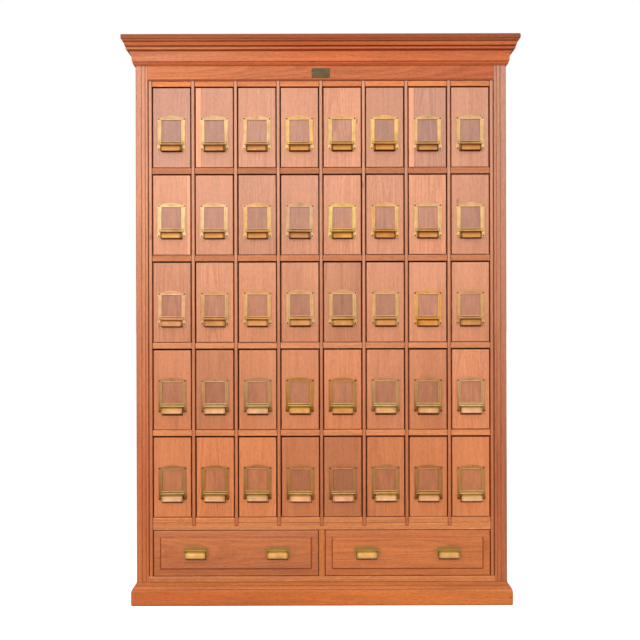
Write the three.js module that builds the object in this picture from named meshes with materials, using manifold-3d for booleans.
// Oak document-file cabinet: forty small tall drawers in an eight by five
// lattice above two wide drawers, on a plinth and under a crown moulding.
// Units are millimetres. +Z is up, the drawers face -Y, the floor is z = 0 and
// the origin is the centre of the footprint, under the middle of the depth.
import * as THREE from "three";
import { mergeVertices } from "three/addons/utils/BufferGeometryUtils.js";
import Module from "manifold-3d";

// ---------------------------------------------------------- main dimensions
// Names ending in _Y, _Z, _TOP or _FOOT are places in the cabinet's frame.
const CASE_HALF_W = 547.5;      // case, side face to centre
const FACE_Y = -187;            // front face of the corner stiles
const BACK_Y = 223;             // rear face of the case
const TOP_Z = 1677;             // top of the crown moulding and top board
const PLINTH_H = 67.5;
const GAP = 0.3;                // clearance between glued pieces
const LAP = 2;                  // overlap of joined blocks, overrun of an open cavity

const STILE_W = 34.5;
const STILE_T = 22;
const SIDE_T = 20;
const BACK_T = 12;
const TOP_T = 20;

const COLS = 8;
const ROWS = 5;
const PITCH_X = 126;            // column pitch
const PITCH_Z = 258.2;          // row pitch
const WALL_T = 9.5;             // upright between columns
const CELL_H = 240.4;           // clear height of a small opening
const CELL_TOP = 1532;          // top of the first row's openings
const LATTICE_TOP = 1547.5;
const LATTICE_FOOT = 241.5;
const UPRIGHT_Y = -186;         // front of the uprights
const RAIL_Y = -183.5;          // front of the cross rails
const INNER_BACK_Y = 210.5;     // rear end of uprights and shelves

const SHELF_TOP = 241.2;        // shelf under the lattice
const SHELF_FOOT = 221;
const BOARD_TOP = 84;           // bottom board
const DIVIDER_W = 17;

// Places shared by several pieces.
const BOARD_FOOT = TOP_Z - TOP_T;               // underside of the top board
const FRAME_TOP = BOARD_FOOT - GAP;
const FRAME_FOOT = PLINTH_H + GAP;
const BEHIND_STILES_Y = FACE_Y + STILE_T + GAP;
const BETWEEN_SIDES_HALF = CASE_HALF_W - SIDE_T - GAP;
const BETWEEN_STILES_HALF = CASE_HALF_W - STILE_W - GAP;
const LATTICE_HALF_W = (COLS * PITCH_X + WALL_T) / 2;

// ------------------------------------------------------------------- helpers
const wasm = await Module();
wasm.setup();

// Turns the triangles of an indexed geometry outward if they face inward.
function outward(geometry) {
  const { position } = geometry.attributes;
  const { index } = geometry;
  const corners = [new THREE.Vector3(), new THREE.Vector3(), new THREE.Vector3()];
  const [first, second, third] = corners;
  let volume = 0;
  for (let i = 0; i < index.count; i += 3) {
    corners.forEach((corner, k) => corner.fromBufferAttribute(position, index.getX(i + k)));
    volume += first.dot(second.cross(third)) / 6;
  }
  if (volume < 0) {
    for (let i = 0; i < index.count; i += 3) {
      const kept = index.getX(i);
      index.setX(i, index.getX(i + 1));
      index.setX(i + 1, kept);
    }
  }
  return geometry;
}

// Drops normals and texture coordinates so that coincident corners can merge.
function welded(geometry) {
  for (const name of Object.keys(geometry.attributes)) {
    if (name !== "position") geometry.deleteAttribute(name);
  }
  return outward(mergeVertices(geometry, 1e-4));
}

// Welded geometry to a manifold, for boolean work.
function solid(geometry) {
  return new wasm.Manifold(new wasm.Mesh({
    numProp: 3,
    vertProperties: new Float32Array(geometry.attributes.position.array),
    triVerts: new Uint32Array(geometry.index.array),
  }));
}

// Manifold back to a geometry.
function shell(manifold) {
  const { numVert, numProp, vertProperties, triVerts } = manifold.getMesh();
  const xyz = new Float32Array(numVert * 3);
  for (let i = 0; i < numVert; i++) {
    for (let k = 0; k < 3; k++) xyz[3 * i + k] = vertProperties[numProp * i + k];
  }
  const geometry = new THREE.BufferGeometry();
  geometry.setAttribute("position", new THREE.BufferAttribute(xyz, 3));
  geometry.setIndex(new THREE.BufferAttribute(new Uint32Array(triVerts), 1));
  geometry.computeVertexNormals();
  return geometry;
}

// Range from -half to half.
const centred = (half) => [-half, half];

// Box from its [low, high] range on each axis.
function box([x0, x1], [y0, y1], [z0, z1]) {
  const geometry = new THREE.BoxGeometry(x1 - x0, y1 - y0, z1 - z0);
  geometry.translate((x0 + x1) / 2, (y0 + y1) / 2, (z0 + z1) / 2);
  return geometry;
}

const block = (...ranges) => solid(welded(box(...ranges)));

const outlineShape = (points) => new THREE.Shape(points.map(([u, v]) => new THREE.Vector2(u, v)));

// Extrudes a shape, then moves each vertex to place(u, v, w), w along the extrusion.
function extruded(shape, depth, steps, place) {
  const geometry = new THREE.ExtrudeGeometry(shape, { depth, steps, bevelEnabled: false });
  const { position } = geometry.attributes;
  for (let i = 0; i < position.count; i++) {
    position.setXYZ(i, ...place(position.getX(i), position.getY(i), position.getZ(i)));
  }
  return welded(geometry);
}

// A closed outline [[u, v], ...] pushed from start to end. plane is one of the
// three functions below and says which axes u and v lie on.
function prism(outline, [start, end], plane, holes = []) {
  const shape = outlineShape(outline);
  shape.holes.push(...holes.map(outlineShape));
  return extruded(shape, end - start, 1, (u, v, w) => plane(u, v, w + start));
}

const inXY = (u, v, w) => [u, v, w];
const inXZ = (u, v, w) => [u, w, v];
const inYZ = (u, v, w) => [w, u, v];

// A moulding carried along both sides and the front of the case, mitred at the
// two front corners. profile is [[overhang, height], ...].
function moulding(profile, rearY) {
  // Stations 0 to 3: left rear, left front, right front, right rear.
  return extruded(outlineShape(profile), 3, 3, (overhang, height, along) => {
    const station = Math.round(along);
    const side = station < 2 ? -1 : 1;
    const atRear = station === 0 || station === 3;
    return [side * (CASE_HALF_W + overhang), atRear ? rearY : FACE_Y - overhang, height];
  });
}

// ----------------------------------------------------------------- materials
function material({ srgb, roughness, metalness }) {
  const color = new THREE.Color().setRGB(...srgb, THREE.SRGBColorSpace);
  return new THREE.MeshStandardMaterial({ color, roughness, metalness });
}

const oak = (srgb) => material({ srgb, roughness: 0.48, metalness: 0 });
const caseOak = oak([0.78, 0.44, 0.27]);
const frontOak = oak([0.83, 0.56, 0.41]);
const innerOak = oak([0.72, 0.50, 0.33]);
const brass = material({ srgb: [0.80, 0.65, 0.38], roughness: 0.34, metalness: 1 });
const dullBrass = material({ srgb: [0.42, 0.36, 0.20], roughness: 0.5, metalness: 1 });

// -------------------------------------------------------------- case outside
// Right stile in plan: [distance out from its inner edge, depth behind its
// face], with two V grooves and a rounded outer corner.
const STILE_SECTION = [
  [0, 0.8], [0.8, 0],
  [8.2, 0], [9.5, 1.6], [10.8, 0],
  [18.7, 0], [20, 1.6], [21.3, 0],
  [STILE_W - 4.5, 0], [STILE_W - 1.4, 1.4], [STILE_W, 4.5],
  [STILE_W, STILE_T], [0, STILE_T],
];

function cornerStile(side) {
  const innerEdge = CASE_HALF_W - STILE_W;
  const outline = STILE_SECTION.map(([out, back]) => [side * (innerEdge + out), FACE_Y + back]);
  return prism(outline, [FRAME_FOOT, FRAME_TOP], inXY);
}

// Side board with two sunk panels on the outer face.
const SUNK_PANELS_Z = [[172, 822], [900, 1550]];
const SUNK_DEPTH = 7;
const SUNK_OVERRUN = 5;         // cutter beyond the outer face
const FRONT_MARGIN = 50;        // board left in front of a sunk panel
const SUNK_REAR_INSET = 72;     // from the rear face of the case

function sidePanel(side) {
  const mirrored = (near, far) => (side > 0 ? [near, far] : [-far, -near]);
  const boardX = mirrored(CASE_HALF_W - SIDE_T, CASE_HALF_W);
  const sunkX = mirrored(CASE_HALF_W - SUNK_DEPTH, CASE_HALF_W + SUNK_OVERRUN);
  const sunkY = [BEHIND_STILES_Y + FRONT_MARGIN, BACK_Y - SUNK_REAR_INSET];
  let board = block(boardX, [BEHIND_STILES_Y, BACK_Y - GAP], [FRAME_FOOT, FRAME_TOP]);
  for (const sunkZ of SUNK_PANELS_Z) board = board.subtract(block(sunkX, sunkY, sunkZ));
  return shell(board);
}

const backPanel = () => box(
  centred(BETWEEN_SIDES_HALF), [BACK_Y - BACK_T, BACK_Y], [FRAME_FOOT, FRAME_TOP],
);

const topBoard = () => box(
  centred(CASE_HALF_W - GAP), [FACE_Y + GAP, BACK_Y - GAP], [BOARD_FOOT, TOP_Z],
);

// [overhang beyond the case, height above the floor]
const CROWN_PROFILE = [
  [GAP, 1592], [3, 1592.6], [3.6, 1594.6], [6.2, 1596], [6.6, 1600.8], [6, 1602.4],
  [8.2, 1603.4], [9.2, 1606], [8.7, 1611], [9.6, 1619], [12, 1626], [15, 1631],
  [16, 1633], [20, 1634.2], [23, 1636.4], [24, 1639.8], [23, 1643], [22, 1644.4],
  [26.4, 1646], [27.6, 1655.6], [30.4, 1657], [33, 1659], [33.4, 1662.4],
  [36, 1663.8], [36, 1673.4], [34.4, 1676.2], [32, TOP_Z], [GAP, TOP_Z],
];

const FRIEZE_T = 20;
const FRIEZE_GAP = 0.8;         // above the lattice

const friezeRail = () => box(
  centred(BETWEEN_STILES_HALF), [FACE_Y, FACE_Y + FRIEZE_T], [LATTICE_TOP + FRIEZE_GAP, FRAME_TOP],
);

// Small blank plate on the frieze, corners clipped: [x, z].
const NAMEPLATE_OUTLINE = [
  [-26.5, 1558], [-25, 1556], [25, 1556], [26.5, 1558],
  [26.5, 1582], [25, 1584], [-25, 1584], [-26.5, 1582],
];
const NAMEPLATE_OUT = 1.6;      // its face, in front of the frieze

const nameplate = () => prism(NAMEPLATE_OUTLINE, [FACE_Y - NAMEPLATE_OUT, FACE_Y - GAP], inXZ);

// [overhang beyond the case, height above the floor]
const PLINTH_PROFILE = [
  [-24, 0], [13.5, 0], [15.6, 2.2], [16, 6], [16, 45.4], [14.4, 46.4], [14.2, 49],
  [12.6, 55.6], [8.6, 61.6], [3, 65.6], [0, PLINTH_H], [-24, PLINTH_H],
];
const PLINTH_REAR_T = 22;
const PLINTH_REAR_INSET = 20;   // ends of the rear board, from the case sides

// A moulded board on the front and both sides, and a plain rear board.
function plinth() {
  const rearX = centred(CASE_HALF_W - PLINTH_REAR_INSET);
  const rearBoard = block(rearX, [BACK_Y - PLINTH_REAR_T, BACK_Y], [0, PLINTH_H]);
  return shell(solid(moulding(PLINTH_PROFILE, BACK_Y)).add(rearBoard));
}

// --------------------------------------------------------------- case inside
// Columns count from the left and rows from the top, both from 1.
const cellX = (column) => (column - (COLS + 1) / 2) * PITCH_X;
const cellTop = (row) => CELL_TOP - (row - 1) * PITCH_Z;
const cellFloor = (row) => cellTop(row) - CELL_H;

const UPRIGHT_SET_IN = 4;       // upright fronts run this far into the lattice
const LEG_DEPTH = 18;           // outermost uprights below the lattice
const STUB_FOOT = 233.5;        // other uprights end here, over the shelf's edge
const CELL_CUT_Y = [-200, 240]; // right through, front to back

// Uprights and shelves run the full depth and guide the drawers.
function drawerLattice() {
  const latticeZ = [LATTICE_FOOT, LATTICE_TOP];
  let lattice = block(centred(LATTICE_HALF_W), [RAIL_Y, INNER_BACK_Y], latticeZ);
  for (let i = 0; i <= COLS; i++) {
    const x = (i - COLS / 2) * PITCH_X;
    const wallX = [x - WALL_T / 2, x + WALL_T / 2];
    const outermost = i === 0 || i === COLS;
    const lowerY = [UPRIGHT_Y, outermost ? UPRIGHT_Y + LEG_DEPTH : RAIL_Y - GAP];
    const lowerZ = [outermost ? BOARD_TOP + GAP : STUB_FOOT, LATTICE_FOOT + LAP];
    lattice = lattice
      .add(block(wallX, [UPRIGHT_Y, RAIL_Y + UPRIGHT_SET_IN], latticeZ))
      .add(block(wallX, lowerY, lowerZ));
  }
  const halfCell = (PITCH_X - WALL_T) / 2;
  for (let row = 1; row <= ROWS; row++) {
    for (let column = 1; column <= COLS; column++) {
      const x = cellX(column);
      const cellZ = [cellFloor(row), cellTop(row)];
      lattice = lattice.subtract(block([x - halfCell, x + halfCell], CELL_CUT_Y, cellZ));
    }
  }
  return shell(lattice);
}

const lowerShelf = () => box(
  centred(LATTICE_HALF_W - WALL_T - GAP), [RAIL_Y, INNER_BACK_Y], [SHELF_FOOT, SHELF_TOP],
);

const DIVIDER_OUT = 1.5;        // in front of the rails

const centreDivider = () => box(
  centred(DIVIDER_W / 2), [RAIL_Y - DIVIDER_OUT, INNER_BACK_Y], [BOARD_TOP + GAP, SHELF_FOOT - GAP],
);

const BOARD_FRONT_Y = -185;

// Full width behind the stiles. Its front edge shows between them as a low rail.
function bottomBoard() {
  const boardZ = [FRAME_FOOT, BOARD_TOP];
  const tongueY = [BOARD_FRONT_Y, FACE_Y + STILE_T + LAP];
  return shell(
    block(centred(BETWEEN_SIDES_HALF), [BEHIND_STILES_Y, INNER_BACK_Y], boardZ)
      .add(block(centred(BETWEEN_STILES_HALF), tongueY, boardZ)),
  );
}

// ---------------------------------------------------------------------- hood
const HOOD_W = 63.5;
const HOOD_WALL = 2;            // end walls

// Hollow finger hood, open below. faceY is the surface it stands on, and it
// runs 1 mm behind that; out is its reach forward.
function hood({ top, foot, out, faceY }) {
  // Both sections are [y, z].
  const outer = [
    [faceY + 1, top], [faceY - 2.6, top], [faceY - 4.4, top - 5],
    [faceY - 8.6, top - 9.6], [faceY - out, foot + 4.4], [faceY - out - 0.6, foot + 1.4],
    [faceY - out + 1, foot], [faceY + 1, foot],
  ];
  const lipY = faceY - out + 2.4;
  const cavity = [
    [faceY, top - 3], [faceY - 2, top - 6], [faceY - 7, top - 11.6],
    [lipY, foot + 2.6], [lipY, foot - LAP], [faceY, foot - LAP],
  ];
  return solid(prism(outer, centred(HOOD_W / 2), inYZ))
    .subtract(solid(prism(cavity, centred(HOOD_W / 2 - HOOD_WALL), inYZ)));
}

// ----------------------------------------------------------- small drawers
// x is counted from the middle of the opening and z from its floor.
const DRAWER_Y = -184.5;        // face of the drawer fronts
const DRAWER_BACK_Y = 196;
const DRAWER_FOOT = 1.2;
const FRONT_W = 110.3;
const FRONT_T = 19;
const FRONT_TOP = CELL_H - 3.5;
const BOX_W = 109;
const BOX_TOP = 222;
const BOX_WALL = 8;
const BOX_BACK_T = 9;
const BOX_FLOOR_T = 7;
const BOX_SET_IN = 10;          // box starts this far behind the front's face
const BOX_OVERRUN = 20;         // cavity cutter above the box

const PULL_W = 81.2;            // label pull
const PLATE_T = 2.2;            // plate of the label and cup pulls
const PULL_SET_IN = 1;          // label pull sunk into the drawer front
const CREST = FRONT_TOP - 82;   // top of the label pull
const PLATE_FOOT = CREST - 106;
const WINDOW_HALF_W = 28.8;
const WINDOW_TOP = CREST - 14.5;
const WINDOW_FOOT = CREST - 77.5;
const LINTEL = CREST - 90.5;    // where the hood leaves the plate
const BAR_HALF_W = 34.5;        // thick bar between window and hood
const BAR_OUT = 4.2;
const BAR_LAP = 0.5;            // overlap with the hood

function labelPull() {
  const half = PULL_W / 2;
  // Scalloped top edge, clipped lower corners: [x, z].
  const outline = [
    [-half, CREST - 9], [-half + 6, CREST - 3.4], [-half + 14, CREST - 4.6],
    [-12, CREST - 0.6], [0, CREST], [12, CREST - 0.6],
    [half - 14, CREST - 4.6], [half - 6, CREST - 3.4], [half, CREST - 9],
    [half, PLATE_FOOT + 4], [half - 3, PLATE_FOOT],
    [-half + 3, PLATE_FOOT], [-half, PLATE_FOOT + 4],
  ];
  const window = [
    [-WINDOW_HALF_W, WINDOW_FOOT], [WINDOW_HALF_W, WINDOW_FOOT],
    [WINDOW_HALF_W, WINDOW_TOP], [-WINDOW_HALF_W, WINDOW_TOP],
  ];
  const rearY = DRAWER_Y + PULL_SET_IN;
  const barZ = [LINTEL - BAR_LAP, WINDOW_FOOT];
  return solid(prism(outline, [DRAWER_Y - PLATE_T, rearY], inXZ, [window]))
    .add(block(centred(BAR_HALF_W), [DRAWER_Y - BAR_OUT, rearY], barZ))
    .add(hood({ top: LINTEL, foot: CREST - 108, out: 19, faceY: DRAWER_Y }));
}

// Box, front and label pull in one piece.
function smallDrawer() {
  const boxY = [DRAWER_Y + BOX_SET_IN, DRAWER_BACK_Y];
  const cavityY = [DRAWER_Y + FRONT_T, DRAWER_BACK_Y - BOX_BACK_T];
  const cavityZ = [DRAWER_FOOT + BOX_FLOOR_T, BOX_TOP + BOX_OVERRUN];
  const frontY = [DRAWER_Y, DRAWER_Y + FRONT_T];
  return shell(
    block(centred(BOX_W / 2), boxY, [DRAWER_FOOT, BOX_TOP])
      .subtract(block(centred(BOX_W / 2 - BOX_WALL), cavityY, cavityZ))
      .add(block(centred(FRONT_W / 2), frontY, [DRAWER_FOOT, FRONT_TOP]))
      .add(labelPull()),
  );
}

// ------------------------------------------------------------ wide drawers
// x and z are counted from the centre of the drawer front.
const WIDE_HALF_W = 486.6 / 2;
const WIDE_Z0 = 85.3;
const WIDE_Z1 = 218.5;
const WIDE_HALF_H = (WIDE_Z1 - WIDE_Z0) / 2;
const WIDE_SIDE_GAP = 2;        // front to centre divider
const WIDE_Y = -182;            // face of the margin round the raised field
const WIDE_BACK_Y = 190;
const WIDE_FRONT_T = 20;
const WIDE_WALL = 12;
const WIDE_BOX_INSET = 5;       // box narrower than the front, each side
const FIELD_Y = -185;           // face of the raised field
const FIELD_INSET = 21;
const FIELD_SET_IN = 4;

function wideDrawer() {
  const boxHalf = WIDE_HALF_W - WIDE_BOX_INSET;
  const boxZ = [-WIDE_HALF_H + 0.8, WIDE_HALF_H - 18];
  const cavityY = [WIDE_Y + WIDE_FRONT_T, WIDE_BACK_Y - WIDE_WALL];
  const cavityZ = [-WIDE_HALF_H + 10, WIDE_HALF_H + 10];
  const fieldX = centred(WIDE_HALF_W - FIELD_INSET);
  const fieldZ = centred(WIDE_HALF_H - FIELD_INSET);
  return shell(
    block(centred(boxHalf), [WIDE_Y + 8, WIDE_BACK_Y], boxZ)
      .subtract(block(centred(boxHalf - WIDE_WALL), cavityY, cavityZ))
      .add(block(centred(WIDE_HALF_W), [WIDE_Y, WIDE_Y + WIDE_FRONT_T], centred(WIDE_HALF_H)))
      .add(block(fieldX, [FIELD_Y, WIDE_Y + FIELD_SET_IN], fieldZ)),
  );
}

// Plate behind the top of the cup: [x, z].
const CUP_PLATE_OUTLINE = [
  [-34, 0], [34, 0], [37.4, 8], [35, 13.4], [20, 15.4], [7, 16.6], [0, 17.4],
  [-7, 16.6], [-20, 15.4], [-35, 13.4], [-37.4, 8],
];
const CUP_X = 121;              // cups either side of the drawer's middle
const CUP_Z = 3.4;

function cupPull() {
  const rearY = FIELD_Y - GAP;
  return shell(
    solid(prism(CUP_PLATE_OUTLINE, [rearY - PLATE_T, rearY], inXZ))
      .add(hood({ top: 1, foot: -16.5, out: 17.5, faceY: rearY - 1 })),
  );
}

// ------------------------------------------------------------------ assembly
const cabinet = new THREE.Group();

function addGroup(x, y, z, parent = cabinet) {
  const group = new THREE.Group();
  group.position.set(x, y, z);
  parent.add(group);
  return group;
}

function add(name, geometry, finish, parent, x = 0, z = 0) {
  const mesh = new THREE.Mesh(geometry, finish);
  mesh.name = name;
  mesh.position.set(x, 0, z);
  parent.add(mesh);
}

function addCase() {
  const group = addGroup(0, 0, 0);
  const pieces = [
    ["left_stile", cornerStile(-1)],
    ["right_stile", cornerStile(1)],
    ["left_side_panel", sidePanel(-1)],
    ["right_side_panel", sidePanel(1)],
    ["back_panel", backPanel(), innerOak],
    ["top_board", topBoard()],
    ["crown_moulding", moulding(CROWN_PROFILE, BACK_Y - GAP)],
    ["frieze_rail", friezeRail()],
    ["nameplate", nameplate(), dullBrass],
    ["drawer_lattice", drawerLattice()],
    ["lower_shelf", lowerShelf()],
    ["centre_divider", centreDivider()],
    ["bottom_board", bottomBoard()],
    ["plinth", plinth()],
  ];
  for (const [name, geometry, finish = caseOak] of pieces) add(name, geometry, finish, group);
}

function addSmallDrawers() {
  const geometry = smallDrawer();
  const rows = addGroup(0, 0, 0);
  for (let r = 1; r <= ROWS; r++) {
    const row = addGroup(0, 0, cellFloor(r), rows);
    for (let c = 1; c <= COLS; c++) {
      add(`drawer_r${r}_c${c}`, geometry, frontOak, row, cellX(c));
    }
  }
}

function addWideDrawers() {
  const drawer = wideDrawer();
  const cup = cupPull();
  const centreX = DIVIDER_W / 2 + WIDE_SIDE_GAP + WIDE_HALF_W;
  let cupNumber = 1;
  for (const [name, side] of [["large_drawer_left", -1], ["large_drawer_right", 1]]) {
    const group = addGroup(side * centreX, 0, (WIDE_Z0 + WIDE_Z1) / 2);
    add(name, drawer, caseOak, group);
    for (const x of [-CUP_X, CUP_X]) {
      add(`cup_pull_${cupNumber}`, cup, brass, group, x, CUP_Z);
      cupNumber += 1;
    }
  }
}

addCase();
addSmallDrawers();
addWideDrawers();

export default cabinet;
